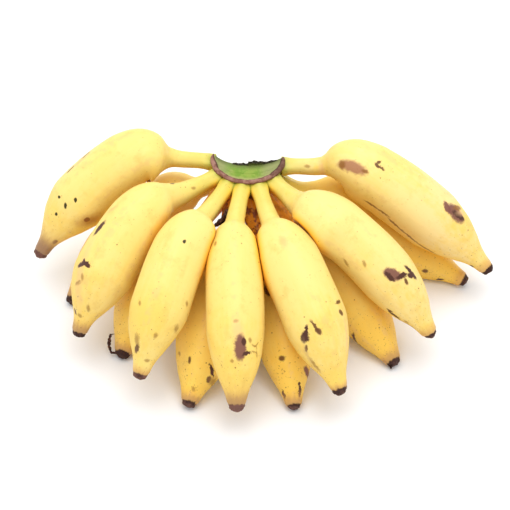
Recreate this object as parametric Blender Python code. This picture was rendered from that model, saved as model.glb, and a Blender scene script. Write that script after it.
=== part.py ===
"""A hand of thirteen short, plump bananas, still grown together at the crown that was cut from the bunch.

The hand lies on the bellies of its lower row. +X is to the right, -Y to the front and +Z up. Lengths are
millimetres and angles are degrees, until a mesh is made in metres.
"""
import math
from dataclasses import dataclass

import bmesh
import bpy
import numpy as np

MM = 0.001

# the crown: its rim's middle stands at CROWN_X, CROWN_Y, and its sizes are measured from there
CROWN_X = -9.8
CROWN_Y = 68.7
RIM_HEIGHT = 79.5
CROWN_TURN = -4.0
CROWN_REACH = 95.0
CUT_HOLLOW = 8.0
RIM_WALL = 1.5
FRONT_POINTS = 23
CUT_POINTS = 7
# each level of the crown: how far it lies below the rim, and the radius of its round front
CROWN_LEVELS = ((0.0, 21.9), (0.9, 22.9), (3.4, 22.9), (4.6, 21.7), (11.0, 21.3), (18.0, 20.0), (24.0, 17.0),
                (28.0, 13.0))
CROWN_DISH = 1.4

# where the stalks start, inside the crown
UPPER_DOWN, UPPER_RADIUS = 6.5, 21.0
LOWER_DOWN, LOWER_RADIUS = 18.0, 18.5

# how full a banana is: share of the body's length, share of the way from its end's radius to its greatest
FULLNESS = ((0.00, 0.0), (0.03, 0.13), (0.06, 0.36), (0.10, 0.58), (0.16, 0.80), (0.25, 0.97), (0.42, 1.0),
            (0.60, 1.0), (0.73, 0.85), (0.83, 0.57), (0.91, 0.25), (0.955, 0.11), (1.0, 0.0))
ROOT_RADIUS = 4.9
TIP_RADIUS = 4.7
ROOT_FLARE = 0.06
RIDGES = 5
RIDGE_HEIGHT = 0.02
# the blunt tip: where it starts to round over, how far it domes out past its last ring, and the size of the
# flat there against that ring
TIP_ROUNDING = 3.0
TIP_DOME = 1.3
TIP_FLAT = 0.5
# the neck bends from this share of the stalk, and the shoulder lifts from that one, to this share of the body
BEND_START = 0.45
SHOULDER_START = 0.5
NECK_END = 0.22

# the mesh: sides of a banana, and its rings along the stalk and along the body
SIDES = 15
STALK_RINGS = (0.0, 0.5)
BODY_RINGS = (0.0, 0.03, 0.06, 0.10, 0.16, 0.25, 0.37, 0.49, 0.60, 0.70, 0.78, 0.85, 0.91, 0.96, 0.985, 1.0)
STEPS = 800
STATIONS = 81
HALVINGS = 14
SHARP_EDGE = 50

# neighbours that press on each other keep this gap, and a stalk keeps this one in its socket
PRESS_GAP = 0.8
SOCKET_GAP = 0.35


@dataclass
class Banana:
    """One banana. Its path starts at an angle round the crown, and heads and slopes as it leaves."""
    name: str
    upper: bool
    root: float
    heading: float
    slope: float
    stalk: float
    body: float
    girth: float
    neck: float
    sweep: float
    droop: float
    turn: float
    dip: float
    rise: float
    taper: float


# root: angle round the crown from its front. heading, slope: of the stalk. stalk, body: lengths.
# girth: greatest radius. neck: radius where the stalk ends. sweep, droop: change of heading and slope along
# the body. turn, dip: the same in the neck. rise: how steeply the shoulder lifts. taper: how slim the front
# half is.
UPPER, LOWER = True, False
BANANAS = (
    # name, row: root, heading, slope, stalk, body, girth, neck, sweep, droop, turn, dip, rise, taper
    Banana("finger_1", UPPER, -98,  -99,    3, 32, 110, 18.6, 5.8,  29,  24,  24,  18, 42,  1.9),
    Banana("finger_2", UPPER, -59,  -60,    6, 38, 103, 18.4, 9.8,  14,  31,  17,  11, 26,  1.6),
    Banana("finger_3", UPPER, -32,  -30,  6.5, 38, 106, 17.4, 6.8,  -1,  34,   9,   7, 28,  1.4),
    Banana("finger_4", UPPER,  -9,   -9,  5.5, 31, 117,   17,   6,  -1,  32,  11,   6,  8,  1.1),
    Banana("finger_5", UPPER,  17,   14,  5.5, 32, 114, 18.8, 6.2,   4,  32,   8,   5,  8,  1.3),
    Banana("finger_6", UPPER,  44,   40,  5.5, 27, 116, 17.5, 8.4,  -8,  32,  15,   6, 21,  1.2),
    Banana("finger_7", UPPER,  87,   91,  3.5, 26, 130,   20, 5.9, -15,  13, -16,  20, 33,  1.5),
    Banana("finger_a", LOWER, -90, -105, 40.7, 18, 114, 16.8, 5.6,  58, -16,  22,  -8,  8,  1.3),
    Banana("finger_b", LOWER, -50,  -53, 37.7, 24, 100, 17.3, 5.5,  29,  -4,   6, -10,  2,    1),
    Banana("finger_c", LOWER, -25,  -11, 33.2, 27, 110, 18.8, 5.5,  -8,  -3,   2,  -9,  2,  1.1),
    Banana("finger_d", LOWER,   2,   18,   34, 24, 113, 16.8, 5.5, -11,  -2,  -1, -10,  2,  1.1),
    Banana("finger_e", LOWER,  30,   52,   34, 26, 108, 16.4, 5.5, -20,  -3,  -2,  -9,  2,    1),
    Banana("finger_f", LOWER,  83,   91, 38.2, 26, 115, 15.6, 5.3, -28, -21,  -6,  -7,  4,  1.2),
)

SKIN_UPPER = (0.93, 0.72, 0.22)
SKIN_LOWER = (0.85, 0.58, 0.14)
SKIN_ROUGHNESS = 0.45
CROWN_GREEN = (0.30, 0.40, 0.08)
CROWN_ROUGHNESS = 0.6


def smooth_curve(places, points):
    """Read a curve that passes through the points without overshooting between them."""
    x, y = np.array(points).T
    step = np.diff(x)
    grade = np.diff(y) / step
    slope = np.zeros(len(x))
    slope[0], slope[-1] = grade[0], grade[-1]
    for i in range(1, len(x) - 1):
        if grade[i - 1] * grade[i] > 0:
            before, after = 2 * step[i] + step[i - 1], step[i] + 2 * step[i - 1]
            slope[i] = (before + after) / (before / grade[i - 1] + after / grade[i])
    k = np.clip(np.searchsorted(x, places, side="right") - 1, 0, len(step) - 1)
    t = (places - x[k]) / step[k]
    start = (2 * t**3 - 3 * t**2 + 1) * y[k] + (t**3 - 2 * t**2 + t) * step[k] * slope[k]
    end = (3 * t**2 - 2 * t**3) * y[k + 1] + (t**3 - t**2) * step[k] * slope[k + 1]
    return start + end


def root_point(banana):
    """The middle of the stalk's end, inside the crown."""
    angle = math.radians(banana.root)
    radius = UPPER_RADIUS if banana.upper else LOWER_RADIUS
    down = UPPER_DOWN if banana.upper else LOWER_DOWN
    x = CROWN_X + radius * math.sin(angle)
    y = CROWN_Y - radius * math.cos(angle)
    return np.array([x, y, RIM_HEIGHT - down])


def path(banana):
    """Fine steps along a banana: distance, point, unit direction and radius at each."""
    along = np.linspace(0, banana.stalk + banana.body, STEPS + 1)
    share = np.clip((along - banana.stalk) / banana.body, 0, 1)
    neck_end = banana.stalk + NECK_END * banana.body
    bend_start = BEND_START * banana.stalk
    bend = np.clip((along - bend_start) / (neck_end - bend_start), 0, 1)
    bend = bend * bend * (3 - 2 * bend)
    shoulder_start = SHOULDER_START * banana.stalk
    shoulder = np.clip((along - shoulder_start) / (neck_end - shoulder_start), 0, 1)
    heading = np.radians(banana.heading + banana.sweep * share + banana.turn * bend)
    lift = banana.rise * np.sin(math.pi * shoulder) ** 2
    slope = np.radians(banana.slope + banana.droop * share + banana.dip * bend - lift)
    level = np.cos(slope)
    direction = np.stack([np.sin(heading) * level, -np.cos(heading) * level, -np.sin(slope)], 1)
    steps = (direction[1:] + direction[:-1]) / 2 * along[1]
    point = root_point(banana) + np.vstack([np.zeros(3), np.cumsum(steps, axis=0)])
    full = np.clip(smooth_curve(share, FULLNESS), 0, 1)
    full = np.where(share > 0.5, full ** banana.taper, full)
    stalk_share = np.clip(along / banana.stalk, 0, 1)
    stalk_radius = ROOT_RADIUS + (banana.neck - ROOT_RADIUS) * stalk_share**2
    end = np.where(share > 0.5, TIP_RADIUS, stalk_radius)
    flare = 1 + ROOT_FLARE * (1 - stalk_share) ** 2
    over = np.clip((along - along[-1] + TIP_ROUNDING) / TIP_RADIUS, 0, 1)
    radius = (end + (banana.girth - end) * full) * flare * np.sqrt(1 - over**2)
    return along, point, direction, radius


def clearance(points, others):
    """How far each point lies outside a banana, given its stations as points and radii."""
    centre, radius = others
    return (np.linalg.norm(points[:, None, :] - centre[None], axis=2) - radius[None]).min(axis=1)


def stations(banana):
    """A banana as a row of balls, to measure its neighbours against."""
    _, point, _, radius = path(banana)
    pick = np.round(np.linspace(0, STEPS, STATIONS)).astype(int)
    return point[pick], radius[pick]


def rings(banana, neighbours):
    """The rings of a banana's surface, pressed flat where a neighbour is in the way."""
    along, point, direction, radius = path(banana)
    places = [banana.stalk * share for share in STALK_RINGS]
    places += [banana.stalk + banana.body * share for share in BODY_RINGS]
    pick = np.round(np.array(places) / along[-1] * STEPS).astype(int)
    centre, ahead, radius = point[pick], direction[pick], radius[pick]
    side = np.cross(ahead, [0.0, 0.0, 1.0])
    side /= np.linalg.norm(side, axis=1)[:, None]
    top = np.cross(side, ahead)
    angle = np.arange(SIDES) * 2 * math.pi / SIDES
    outward = side[:, None] * np.cos(angle)[None, :, None] + top[:, None] * np.sin(angle)[None, :, None]
    ridge = 1 + RIDGE_HEIGHT * np.cos(RIDGES * (angle - math.pi / 2))
    reach = (radius[:, None] * ridge[None]).ravel()
    outward = outward.reshape(-1, 3)
    start = np.repeat(centre, SIDES, axis=0)
    own = stations(banana)
    for other in neighbours:
        tip = start + outward * reach[:, None]
        pressed = np.nonzero(clearance(tip, own) > clearance(tip, other) - PRESS_GAP)[0]
        low, high = np.zeros(len(pressed)), reach[pressed].copy()
        for _ in range(HALVINGS):
            middle = (low + high) / 2
            tip = start[pressed] + outward[pressed] * middle[:, None]
            over = clearance(tip, own) > clearance(tip, other) - PRESS_GAP
            high = np.where(over, middle, high)
            low = np.where(over, low, middle)
        reach[pressed] = low
    surface = (start + outward * reach[:, None]).reshape(len(pick), SIDES, 3)
    dome = centre[-1] + ahead[-1] * TIP_DOME + TIP_FLAT * (surface[-1] - centre[-1])
    return np.concatenate([surface, dome[None]])


def loft(mesh_rings):
    """Bridge rings of points into one closed body."""
    bm = bmesh.new()
    loops = []
    for ring in mesh_rings:
        verts = [bm.verts.new([value * MM for value in point]) for point in ring]
        loops.append([bm.edges.new((verts[i - 1], verts[i])) for i in range(len(verts))])
    for near, far in zip(loops, loops[1:]):
        bmesh.ops.bridge_loops(bm, edges=near + far)
    bmesh.ops.holes_fill(bm, edges=loops[0] + loops[-1], sides=0)
    bmesh.ops.recalc_face_normals(bm, faces=bm.faces)
    return bm


def flatten_on_floor(bm):
    """Cut off what would sink below the surface, which leaves a small flat spot."""
    everything = list(bm.verts) + list(bm.edges) + list(bm.faces)
    cut = bmesh.ops.bisect_plane(bm, geom=everything, plane_no=(0, 0, -1), clear_outer=True)
    edges = [item for item in cut["geom_cut"] if isinstance(item, bmesh.types.BMEdge)]
    if edges:
        bmesh.ops.holes_fill(bm, edges=edges, sides=0)
        bmesh.ops.recalc_face_normals(bm, faces=bm.faces)


def add_object(name, bm, material):
    """Turn a bmesh into a smooth-shaded object."""
    mesh = bpy.data.meshes.new(name)
    bm.to_mesh(mesh)
    bm.free()
    mesh.materials.append(material)
    mesh.shade_smooth()
    mesh.set_sharp_from_angle(angle=math.radians(SHARP_EDGE))
    obj = bpy.data.objects.new(name, mesh)
    bpy.context.scene.collection.objects.link(obj)
    return obj


def plain_material(name, colour, roughness):
    """A Principled material of one colour."""
    material = bpy.data.materials.new(name)
    material.use_nodes = True
    shader = material.node_tree.nodes["Principled BSDF"]
    shader.inputs["Base Color"].default_value = (*colour, 1.0)
    shader.inputs["Roughness"].default_value = roughness
    shader.inputs["Metallic"].default_value = 0.0
    return material


def crown_outline(radius, down, wall=0.0):
    """One level of the crown: a round front, and behind it the hollow that the knife left."""
    reach = math.radians(CROWN_REACH)
    angles = np.linspace(-reach, reach, FRONT_POINTS)
    front = np.stack([np.sin(angles), -np.cos(angles)], 1) * radius
    front[:, 1] = np.minimum(front[:, 1], front[0, 1] - wall)
    across = np.linspace(front[-1, 0], front[0, 0], CUT_POINTS + 2)[1:-1]
    hollow = CUT_HOLLOW * (1 - (across / radius) ** 2)
    cut = np.stack([across, front[0, 1] - hollow], 1)
    outline = np.concatenate([front, cut])
    turn = math.radians(CROWN_TURN)
    x = CROWN_X + outline[:, 0] * math.cos(turn) - outline[:, 1] * math.sin(turn)
    y = CROWN_Y + outline[:, 0] * math.sin(turn) + outline[:, 1] * math.cos(turn)
    return np.stack([x, y, np.full(len(outline), RIM_HEIGHT - down)], 1)


def make_crown():
    """The crown, with its raised rim round a dished top."""
    top_radius = CROWN_LEVELS[0][1]
    levels = [crown_outline(top_radius - RIM_WALL, CROWN_DISH, RIM_WALL)]
    levels += [crown_outline(radius, down) for down, radius in CROWN_LEVELS]
    return add_object("crown", loft(levels), plain_material("crown", CROWN_GREEN, CROWN_ROUGHNESS))


def cut_socket(crown, banana_object, banana):
    """Cut the crown back from one stalk, a small gap wider than the stalk.

    The solver is MANIFOLD, because EXACT leaves nothing of the crown here.
    """
    bm = bmesh.new()
    bm.from_mesh(banana_object.data)
    bmesh.ops.recalc_face_normals(bm, faces=bm.faces)
    for vert in bm.verts:
        vert.co += vert.normal * SOCKET_GAP * MM
    cutter = add_object("socket_" + banana.name, bm, crown.data.materials[0])
    cutter.hide_render = True
    cutter.display_type = "WIRE"
    cut = crown.modifiers.new("socket_" + banana.name, "BOOLEAN")
    cut.operation = "DIFFERENCE"
    cut.solver = "MANIFOLD"
    cut.object = cutter


for old in list(bpy.data.objects):
    bpy.data.objects.remove(old)

crown_object = make_crown()
for item in BANANAS:
    others = [stations(other) for other in BANANAS if other is not item]
    body = loft(rings(item, others))
    flatten_on_floor(body)
    skin = plain_material(item.name, SKIN_UPPER if item.upper else SKIN_LOWER, SKIN_ROUGHNESS)
    cut_socket(crown_object, add_object(item.name, body, skin), item)
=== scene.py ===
"""A hand of thirteen short, plump bananas, still grown together at the crown that was cut from the bunch.

The hand lies on the bellies of its lower row. +X is to the right, -Y to the front and +Z up. Lengths are
millimetres and angles are degrees, until a mesh is made in metres. The studio's floor and light are metres.
"""

import math
from dataclasses import dataclass

import bpy
import numpy as np
from mathutils import Matrix, Vector


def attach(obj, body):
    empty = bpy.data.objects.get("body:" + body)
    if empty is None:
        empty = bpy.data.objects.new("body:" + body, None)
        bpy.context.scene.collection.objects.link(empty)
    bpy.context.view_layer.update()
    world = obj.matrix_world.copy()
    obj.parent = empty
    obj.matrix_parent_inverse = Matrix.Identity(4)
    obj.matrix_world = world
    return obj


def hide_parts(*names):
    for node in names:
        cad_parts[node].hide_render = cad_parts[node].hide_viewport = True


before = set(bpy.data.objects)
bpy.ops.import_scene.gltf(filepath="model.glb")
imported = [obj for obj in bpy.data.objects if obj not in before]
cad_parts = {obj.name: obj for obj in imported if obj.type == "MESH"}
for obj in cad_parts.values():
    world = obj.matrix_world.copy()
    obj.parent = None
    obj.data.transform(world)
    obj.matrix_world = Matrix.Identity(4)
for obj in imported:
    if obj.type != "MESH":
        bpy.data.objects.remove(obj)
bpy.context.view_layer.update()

# The bananas. Each is a fruit in a leathery peel, about 37 mm thick, with five soft ridges along it. It
# narrows to a short stalk that grew out of the crown, and ends in the blunt, dry scar of its flower. Where
# neighbours grew against each other they are pressed flat.
MM = 0.001
CROWN_X = -9.8
CROWN_Y = 68.7
RIM_HEIGHT = 79.5
UPPER_DOWN, UPPER_RADIUS = 6.5, 21.0
LOWER_DOWN, LOWER_RADIUS = 18.0, 18.5
# how full a banana is: share of the body's length, share of the way from its end's radius to its greatest
FULLNESS = ((0.00, 0.0), (0.03, 0.13), (0.06, 0.36), (0.1, 0.58), (0.16, 0.8), (0.25, 0.97), (0.42, 1.0),
            (0.6, 1), (0.73, 0.85), (0.83, 0.57), (0.91, 0.25), (0.955, 0.11), (1, 0))
ROOT_RADIUS = 4.9
TIP_RADIUS = 4.7
TIP_ROUNDING = 3.0
RIDGES = 5
RIDGE_HEIGHT = 0.02
# the neck bends from this share of the stalk, and the shoulder lifts from that one, to this share of the body
BEND_START = 0.45
SHOULDER_START = 0.5
NECK_END = 0.22
# the front half of the body is slimmer, from this share of it on
FRONT_HALF = 0.5
STEPS = 800
STATIONS = 81
HALVINGS = 12
# the mesh: sides of a banana, the length of a row, and the finer rows of the tip
AROUND = 96
ROW = 1.05
TIP_LENGTH = 10.0
TIP_ROWS = 28
# the rings that close the end: share of the last radius, and how far past it
END_RINGS = ((0.9, 0.4), (0.76, 0.8), (0.6, 1.15), (0.41, 1.45), (0.22, 1.62), (0.08, 1.68))
# kinds of lumps: how high, how long, and what is added to the seed
BODY_LUMPS = ((0.28, 40.0, 0),)
TIP_LUMPS = ((1.0, 4.5, 50), (0.5, 1.8, 90))
TIP_SHIFTS = ((1.0, 3.2, 130),)
WAVES = 14
WAVE_SPREAD = (0.7, 1.4)
TIP_ROUGHNESS = 0.3
TIP_GROOVE = 0.35
# the radius that patterns are laid out on is never less
LEAST_RADIUS = 1.0
# the stalk widens into the crown, except on top where it would cover the rim; more so in the lower row
ROOT_FLARE, LOWER_FLARE = 0.3, 0.45
FLARE_LENGTH, LOWER_FLARE_LENGTH = 6.0, 20.0
# neighbours keep this gap, and run into each other by that much where they are still one at the crown
PRESS_GAP = 0.35
GROWN_OVERLAP = 0.7
GROWN_LENGTH = 8.0
# a side's claim on the space before a neighbour, as a multiple of how much fuller the side is
FULLER_CLAIM = 4
NEAR_LIMIT = 12.0
# the peel stays this far above the ground
GROUND_GAP = 0.1


@dataclass
class Banana:
    """One banana. Its path starts at an angle round the crown, and heads and slopes as it leaves."""
    name: str
    upper: bool
    root: float
    heading: float
    slope: float
    stalk: float
    body: float
    girth: float
    neck: float
    sweep: float
    droop: float
    turn: float
    dip: float
    rise: float
    taper: float


# root: angle round the crown from its front. heading, slope: of the stalk. stalk, body: lengths.
# girth: greatest radius. neck: radius where the stalk ends. sweep, droop: change of heading and slope along
# the body. turn, dip: the same in the neck. rise: how steeply the shoulder lifts. taper: how slim the front
# half is. A scratch script fitted the numbers to outline points picked by eye in the photograph; they were
# then rounded, and some changed by hand.
UPPER, LOWER = True, False
BANANAS = (
    Banana("finger_1", UPPER, -98,  -99,    3, 32, 110, 18.6, 5.8,  29,  24,  24,  18, 42,  1.9),
    Banana("finger_2", UPPER, -59,  -60,    6, 38, 103, 18.4, 9.8,  14,  31,  17,  11, 26,  1.6),
    Banana("finger_3", UPPER, -32,  -30,  6.5, 38, 106, 17.4, 6.8,  -1,  34,   9,   7, 28,  1.4),
    Banana("finger_4", UPPER,  -9,   -9,  5.5, 31, 117,   17,   6,  -1,  32,  11,   6,  8,  1.1),
    Banana("finger_5", UPPER,  17,   14,  5.5, 32, 114, 18.8, 6.2,   4,  32,   8,   5,  8,  1.3),
    Banana("finger_6", UPPER,  44,   40,  5.5, 27, 116, 17.5, 8.4,  -8,  32,  15,   6, 21,  1.2),
    Banana("finger_7", UPPER,  87,   91,  3.5, 26, 130,   20, 5.9, -15,  13, -16,  20, 33,  1.5),
    Banana("finger_a", LOWER, -90, -105, 40.7, 18, 114, 16.8, 5.6,  58, -16,  22,  -8,  8,  1.3),
    Banana("finger_b", LOWER, -50,  -53, 37.7, 24, 100, 17.3, 5.5,  29,  -4,   6, -10,  2,    1),
    Banana("finger_c", LOWER, -25,  -11, 33.2, 27, 110, 18.8, 5.5,  -8,  -3,   2,  -9,  2,  1.1),
    Banana("finger_d", LOWER,   2,   18,   34, 24, 113, 16.8, 5.5, -11,  -2,  -1, -10,  2,  1.1),
    Banana("finger_e", LOWER,  30,   52,   34, 26, 108, 16.4, 5.5, -20,  -3,  -2,  -9,  2,    1),
    Banana("finger_f", LOWER,  83,   91, 38.2, 26, 115, 15.6, 5.3, -28, -21,  -6,  -7,  4,  1.2),
)


@dataclass
class Look:
    """How one banana's peel differs: how pale it is; at the tip the length of the dry cap, the length and
    strength of the smudge before it, and how black the cap is; and how dark the maroon spots are in the
    painted shade and dried sap on its stalk."""
    pale: float
    cap: float
    smudge: float
    smudged: float
    black: float
    sap_and_shade: float = 0.0


LOOKS = {
    "finger_1": Look(0.3, 4, 15, 0.9, 0.3),
    "finger_2": Look(0.3, 3.2, 7, 0.5, 0.6),
    "finger_3": Look(0.2, 3.8, 4, 0, 0.35),
    "finger_4": Look(0.2, 4.6, 9, 0.5, 0.25),
    "finger_5": Look(0.35, 4.2, 3, 0.2, 0.55),
    "finger_6": Look(0.6, 2.8, 5, 0, 0.5),
    "finger_7": Look(1, 3.8, 5, 0, 0.9),
    "finger_a": Look(0.3, 3.2, 8, 0.5, 0.8),
    "finger_b": Look(0, 3.6, 5, 0.3, 0.9, 0.3),
    "finger_c": Look(0, 2.8, 5, 0.3, 0.5, 0.7),
    "finger_d": Look(0, 2.4, 6, 0.3, 0.5, 0.9),
    "finger_e": Look(0, 3, 6, 0.3, 0.6, 0.4),
    "finger_f": Look(0, 2.8, 5, 0, 0.6),
}
# where a banana is fuller or leaner on one side: how far from the root, its angle round the banana, how much,
# over which length, and how narrow it is
SWELLINGS = {
    "finger_1": ((0, 90, -2.5, 4, 2), (35, 225, 9, 5.5, 2), (43, 225, 6.5, 7, 2)),
    "finger_3": ((50, 165, 3.5, 9, 4),),
    "finger_6": ((40, 25, 5, 9, 4), (55, 25, 5.5, 9, 4)),
    "finger_a": ((32, 50, 3.5, 12, 2),),
    "finger_f": ((31, 135, 8, 12, 2), (48, 135, 6, 14, 2)),
}


def smooth_curve(places, points):
    """Read a curve that passes through the points without overshooting between them."""
    x, y = np.array(points).T
    step = np.diff(x)
    grade = np.diff(y) / step
    slope = np.zeros(len(x))
    slope[0], slope[-1] = grade[0], grade[-1]
    for i in range(1, len(x) - 1):
        if grade[i - 1] * grade[i] > 0:
            before, after = 2 * step[i] + step[i - 1], step[i] + 2 * step[i - 1]
            slope[i] = (before + after) / (before / grade[i - 1] + after / grade[i])
    k = np.clip(np.searchsorted(x, places, side="right") - 1, 0, len(step) - 1)
    t = (places - x[k]) / step[k]
    start = (2 * t**3 - 3 * t**2 + 1) * y[k] + (t**3 - 2 * t**2 + t) * step[k] * slope[k]
    end = (3 * t**2 - 2 * t**3) * y[k + 1] + (t**3 - t**2) * step[k] * slope[k + 1]
    return start + end


def path(banana):
    """Fine steps along a banana: distance, point, unit direction and radius at each."""
    along = np.linspace(0, banana.stalk + banana.body, STEPS + 1)
    share = np.clip((along - banana.stalk) / banana.body, 0, 1)
    neck_end = banana.stalk + NECK_END * banana.body
    bend = fade(BEND_START * banana.stalk, neck_end, along)
    shoulder_start = SHOULDER_START * banana.stalk
    shoulder = np.clip((along - shoulder_start) / (neck_end - shoulder_start), 0, 1)
    heading = np.radians(banana.heading + banana.sweep * share + banana.turn * bend)
    lift = banana.rise * np.sin(math.pi * shoulder) ** 2
    slope = np.radians(banana.slope + banana.droop * share + banana.dip * bend - lift)
    level = np.cos(slope)
    direction = np.stack([np.sin(heading) * level, -np.cos(heading) * level, -np.sin(slope)], 1)
    steps = (direction[1:] + direction[:-1]) / 2 * along[1]
    angle = math.radians(banana.root)
    reach = UPPER_RADIUS if banana.upper else LOWER_RADIUS
    down = UPPER_DOWN if banana.upper else LOWER_DOWN
    root = np.array([CROWN_X + reach * math.sin(angle), CROWN_Y - reach * math.cos(angle), RIM_HEIGHT - down])
    point = root + np.vstack([np.zeros(3), np.cumsum(steps, axis=0)])
    full = np.clip(smooth_curve(share, FULLNESS), 0, 1)
    full = np.where(share > FRONT_HALF, full ** banana.taper, full)
    stalk_share = np.clip(along / banana.stalk, 0, 1)
    stalk_radius = ROOT_RADIUS + (banana.neck - ROOT_RADIUS) * stalk_share**2
    end = np.where(share > FRONT_HALF, TIP_RADIUS, stalk_radius)
    over = np.clip((along - along[-1] + TIP_ROUNDING) / TIP_RADIUS, 0, 1)
    return along, point, direction, (end + (banana.girth - end) * full) * np.sqrt(1 - over**2)


def stations(banana):
    """A banana as a row of balls, to measure its neighbours against."""
    _, point, _, radius = path(banana)
    pick = np.round(np.linspace(0, STEPS, STATIONS)).astype(int)
    return point[pick], radius[pick]


def clearance(points, balls):
    """How far each point lies outside a banana, given its stations as points and radii."""
    centre, radius = balls
    return (np.linalg.norm(points[:, None] - centre, axis=2) - radius).min(axis=1)


def ripples(points, wavelength, seed):
    """Smooth seeded noise of about -1 to 1: waves of about one length in random directions."""
    rng = np.random.default_rng(seed)
    ways = rng.normal(size=(WAVES, 3))
    ways /= np.linalg.norm(ways, axis=1)[:, None]
    ways /= (wavelength * rng.uniform(*WAVE_SPREAD, WAVES))[:, None]
    phases = rng.uniform(0, 2 * math.pi, WAVES)
    return np.sin(points @ ways.T * 2 * math.pi + phases).sum(axis=-1) / math.sqrt(WAVES)


def lumps(points, kinds, seed=0):
    """Several kinds of ripples added up."""
    return sum(height * ripples(points, length, seed + more) for height, length, more in kinds)


def fade(low, high, values):
    """0 below low, 1 above high, and a smooth change between them; low may be the greater one."""
    t = np.clip((values - low) / (high - low), 0, 1)
    return t * t * (3 - 2 * t)


def read_at(places, along, values):
    """Read rows of values, given at each step along, at some places between."""
    return np.stack([np.interp(places, along, column) for column in values.T], 1)


def side_and_top(ahead):
    """The directions to the side and to the top of a banana that heads ahead."""
    side = np.cross(ahead, [0, 0, 1])
    side /= np.linalg.norm(side, axis=1)[:, None]
    return side, np.cross(side, ahead)


def press(start, outward, reach, gap, claim, own, other):
    """Shorten the reach of the points that a neighbour is in the way of, to the middle between the two. A
    point may be nearer to the neighbour than to its own banana by its claim, but not inside it."""
    def beyond(points, distance):
        tip = start[points] + outward[points] * distance[:, None]
        past, left = clearance(tip, own), clearance(tip, other) - gap[points]
        return past - left > np.minimum(claim[points], np.maximum(past + left, 0))

    every = np.arange(len(reach))
    pressed = every[beyond(every, reach)]
    low, high = np.zeros(len(pressed)), reach[pressed]
    for _ in range(HALVINGS):
        middle = (low + high) / 2
        over = beyond(pressed, middle)
        high = np.where(over, middle, high)
        low = np.where(over, low, middle)
    reach[pressed] = low


def ring_places(banana):
    """Where a banana's rings go, closer together at the tip: how far along, centre, direction and radius."""
    step_along, step_point, step_ahead, step_radius = path(banana)
    total = banana.stalk + banana.body
    tip_rows = np.linspace(total - TIP_LENGTH, total, TIP_ROWS)
    rows = np.concatenate([np.arange(0, total - TIP_LENGTH, ROW), tip_rows])
    centre, ahead = read_at(rows, step_along, step_point), read_at(rows, step_along, step_ahead)
    radius = np.interp(rows, step_along, step_radius)
    shares, advances = np.array(END_RINGS).T
    rows = np.concatenate([rows, total + advances])
    centre = np.concatenate([centre, centre[-1] + ahead[-1] * advances[:, None]])
    ahead = np.concatenate([ahead, np.repeat(ahead[-1:], len(advances), axis=0)])
    return rows, centre, ahead, np.concatenate([radius, radius[-1] * shares])


def circle(count):
    """Angles evenly round a circle."""
    return np.arange(count) * 2 * math.pi / count


def swelling(banana, rows, angle):
    """How much fuller or leaner a banana is on one side, at each of its points."""
    fuller = np.zeros((len(rows), AROUND))
    for place, degrees, amount, length, narrow in SWELLINGS.get(banana.name, ()):
        toward = (0.5 + 0.5 * np.cos(angle - math.radians(degrees))) ** narrow
        fuller += amount * np.exp(-(((rows - place) / length) ** 2))[:, None] * toward
    return fuller


def banana_skin(banana, seed, balls):
    """A banana's rings of points, with each point's place on the straightened banana, how near the next
    banana is, and how far it faces up."""
    rows, centre, ahead, radius = ring_places(banana)
    side, top = side_and_top(ahead)
    angle = circle(AROUND)
    outward = side[:, None] * np.cos(angle)[:, None] + top[:, None] * np.sin(angle)[:, None]
    nominal = np.maximum(radius, LEAST_RADIUS)[:, None]
    straight = np.stack([nominal * np.cos(angle), nominal * np.sin(angle), rows[:, None] + 0 * angle], axis=2)
    ridge = 1 + RIDGE_HEIGHT * np.cos(RIDGES * (angle - math.pi / 2))
    beside = fade(0.9, 0.3, np.sin(angle))
    flare, flare_length = (ROOT_FLARE, FLARE_LENGTH) if banana.upper else (LOWER_FLARE, LOWER_FLARE_LENGTH)
    flare = 1 + flare * np.exp(-(rows / flare_length) ** 2)[:, None] * beside
    reach = radius[:, None] * ridge * flare
    reach += lumps(straight, BODY_LUMPS, seed) * fade(0.3, 0.9, radius / banana.girth)[:, None]
    fuller = swelling(banana, rows, angle)
    reach += fuller
    cap_start = rows[-1] - LOOKS[banana.name].cap
    reach -= TIP_GROOVE * np.exp(-(rows - cap_start) ** 2)[:, None]
    dry = fade(cap_start - 1, cap_start + 1.5, rows)[:, None] * fade(0, 2, radius)[:, None]
    reach += TIP_ROUGHNESS * dry * lumps(straight, TIP_LUMPS, seed)
    push = TIP_ROUGHNESS * dry * lumps(straight, TIP_SHIFTS, seed)
    start = (centre[:, None] + ahead[:, None] * push[:, :, None]).reshape(-1, 3)
    outward, reach = outward.reshape(-1, 3), reach.ravel()
    claim = FULLER_CLAIM * np.maximum(fuller, 0).ravel()
    gap = PRESS_GAP - (PRESS_GAP + GROWN_OVERLAP) * np.exp(-(rows / GROWN_LENGTH) ** 2)
    gap = np.repeat(gap, AROUND)
    own = balls[banana.name]
    others = {name: ball for name, ball in balls.items()
              if name != banana.name and (clearance(ball[0], own) - ball[1]).min() < NEAR_LIMIT}
    for name, other in others.items():
        press(start, outward, reach, gap, 0 * claim if name in SWELLINGS else claim, own, other)
    surface = start + outward * reach[:, None]
    near = np.full(len(surface), NEAR_LIMIT)
    for other in others.values():
        near = np.minimum(near, np.maximum(clearance(surface, other), 0))
    surface[:, 2] = np.maximum(surface[:, 2], GROUND_GAP)
    shape = straight.shape
    return surface.reshape(shape), straight, near.reshape(shape[:2]), outward[:, 2].reshape(shape[:2])


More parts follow.
